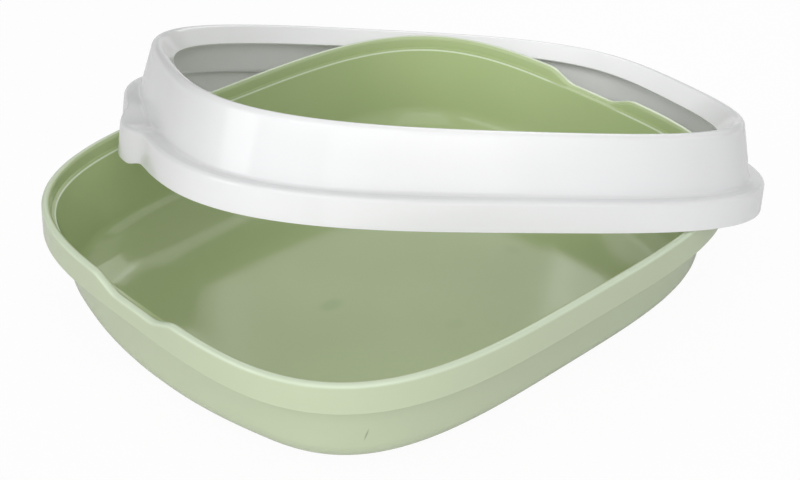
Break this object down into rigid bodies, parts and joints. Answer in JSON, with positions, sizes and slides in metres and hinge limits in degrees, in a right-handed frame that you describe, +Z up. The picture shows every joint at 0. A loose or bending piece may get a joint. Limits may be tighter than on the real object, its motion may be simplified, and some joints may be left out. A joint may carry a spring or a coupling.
{
  "type": "cat litter box",
  "caption": "Open cat litter pan with rounded corners and hand dips, with its lift-off guard rim leaning across it and standing on the floor.",
  "frame": {"origin": "middle of the pan's flat base, on the floor that the pan stands on", "axes": "+X along the pan's longer side, towards the end where the rim reaches past the pan; +Y across the pan, towards the side where the rim reaches furthest past it; +Z up"},
  "size_m": [0.5828, 0.5022, 0.202],
  "materials": {
    "pan_plastic": "glossy moulded polypropylene, pale green, slightly translucent",
    "rim_plastic": "glossy moulded polypropylene, white"
  },
  "bodies": {
    "pan": {"pan": "pan_plastic"},
    "rim": {"rim": "rim_plastic"}
  },
  "joints": [
    {"name": "rim_lift", "type": "slide", "parent": "pan", "child": "rim", "axis": [0, 0, 1], "range_m": [0, 0.12]}
  ]
}
